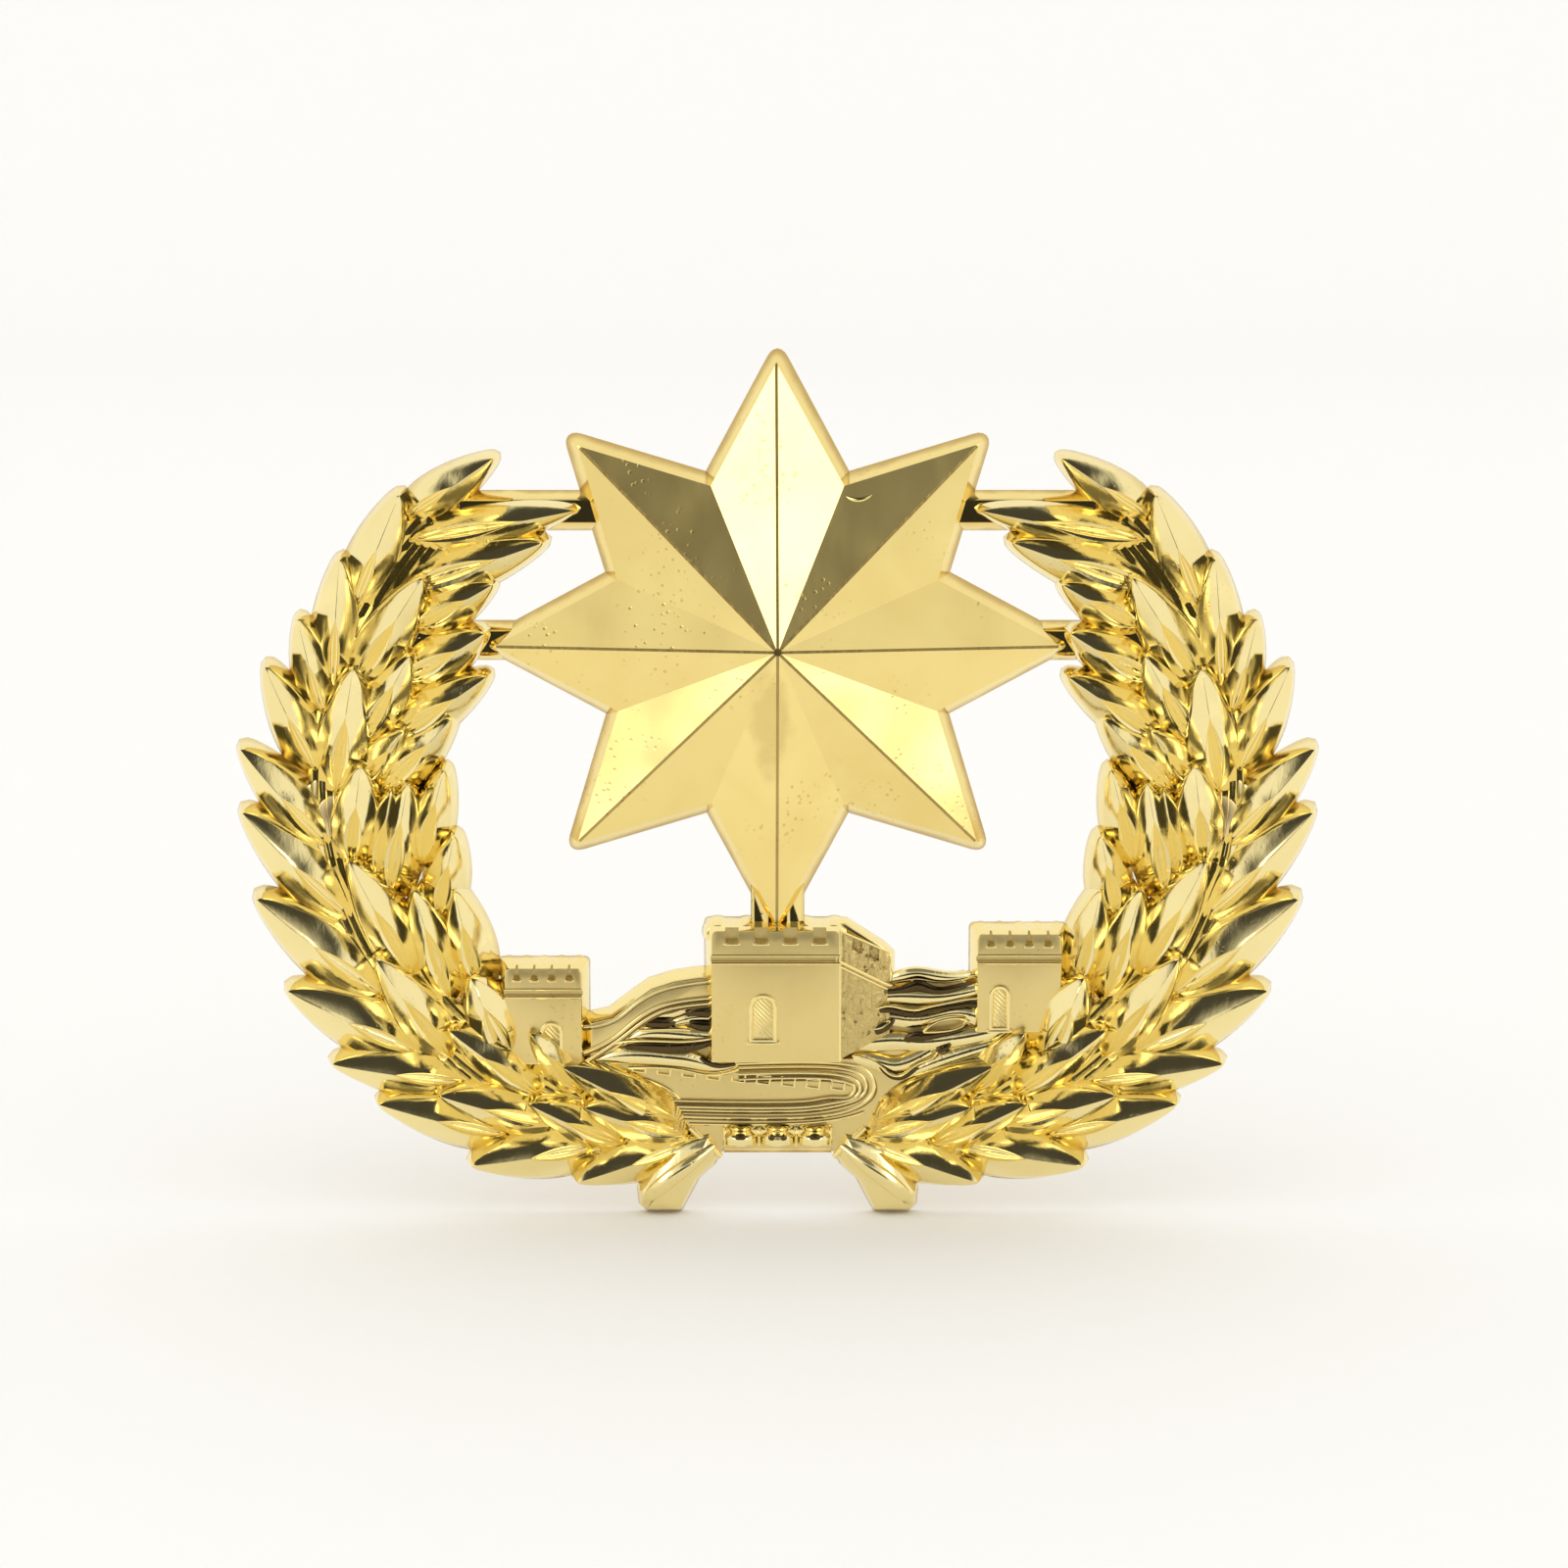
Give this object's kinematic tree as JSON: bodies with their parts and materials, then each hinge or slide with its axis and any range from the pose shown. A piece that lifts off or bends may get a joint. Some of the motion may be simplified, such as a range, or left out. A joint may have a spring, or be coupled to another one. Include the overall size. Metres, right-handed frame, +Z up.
{
  "type": "cap badge",
  "caption": "Gilt cap badge: a faceted star on cross bars in a leaf wreath above a gate tower and ramparts, held to the cap by screw studs with washers and thumb nuts.",
  "frame": {"origin": "midway between the two studs, on the badge's flat back", "axes": "+X to the right seen from the front, +Z up the badge, front facing -Y, studs pointing +Y"},
  "size_m": [0.06, 0.0136, 0.0487],
  "materials": {
    "star_gold": "polished gold plate with fine drag marks and small pits",
    "wreath_gold": "bright gold plate, darker in the recesses",
    "relief_gold": "satin gold plate with bright raised edges",
    "stud_brass": "machined brass",
    "nut_brass": "knurled and turned brass",
    "washer_steel": "tumbled nickel-plated steel"
  },
  "bodies": {
    "badge": {"star": "star_gold", "upper_cross_bar": "relief_gold", "middle_cross_bar": "relief_gold", "left_star_stay": "relief_gold", "right_star_stay": "relief_gold", "left_stem": "wreath_gold", "right_stem": "wreath_gold", "left_outer_leaves": "wreath_gold", "right_outer_leaves": "wreath_gold", "left_middle_leaves": "wreath_gold", "right_middle_leaves": "wreath_gold", "left_inner_leaves": "wreath_gold", "right_inner_leaves": "wreath_gold", "gate_tower": "relief_gold", "left_tower": "relief_gold", "right_tower": "relief_gold", "left_rampart": "relief_gold", "front_rampart": "relief_gold", "left_rocks": "relief_gold", "right_rocks": "relief_gold", "tie_band": "relief_gold", "left_stud": "stud_brass", "right_stud": "stud_brass"},
    "left_clamp": {"left_washer": "washer_steel"},
    "right_clamp": {"right_washer": "washer_steel"},
    "left_nut": {"left_thumb_nut": "nut_brass"},
    "right_nut": {"right_thumb_nut": "nut_brass"}
  },
  "joints": [
    {"name": "left_clamp_travel", "type": "slide", "parent": "badge", "child": "left_clamp", "axis": [0, 1, 0], "range_m": [-0.002, 0.0045]},
    {"name": "left_nut_turn", "type": "hinge", "parent": "left_clamp", "child": "left_nut", "pos_m": [-0.02451, 0.0052, 0], "axis": [0, 1, 0], "range_deg": [-1441, 3241]},
    {"name": "right_clamp_travel", "type": "slide", "parent": "badge", "child": "right_clamp", "axis": [0, 1, 0], "range_m": [-0.002, 0.0045]},
    {"name": "right_nut_turn", "type": "hinge", "parent": "right_clamp", "child": "right_nut", "pos_m": [0.02451, 0.0052, 0], "axis": [0, 1, 0], "range_deg": [-1441, 3241]}
  ],
  "couplings": [
    {"joint": "left_nut_turn", "follows": "left_clamp_travel", "rad_per_m": 12566},
    {"joint": "right_nut_turn", "follows": "right_clamp_travel", "rad_per_m": 12566}
  ]
}
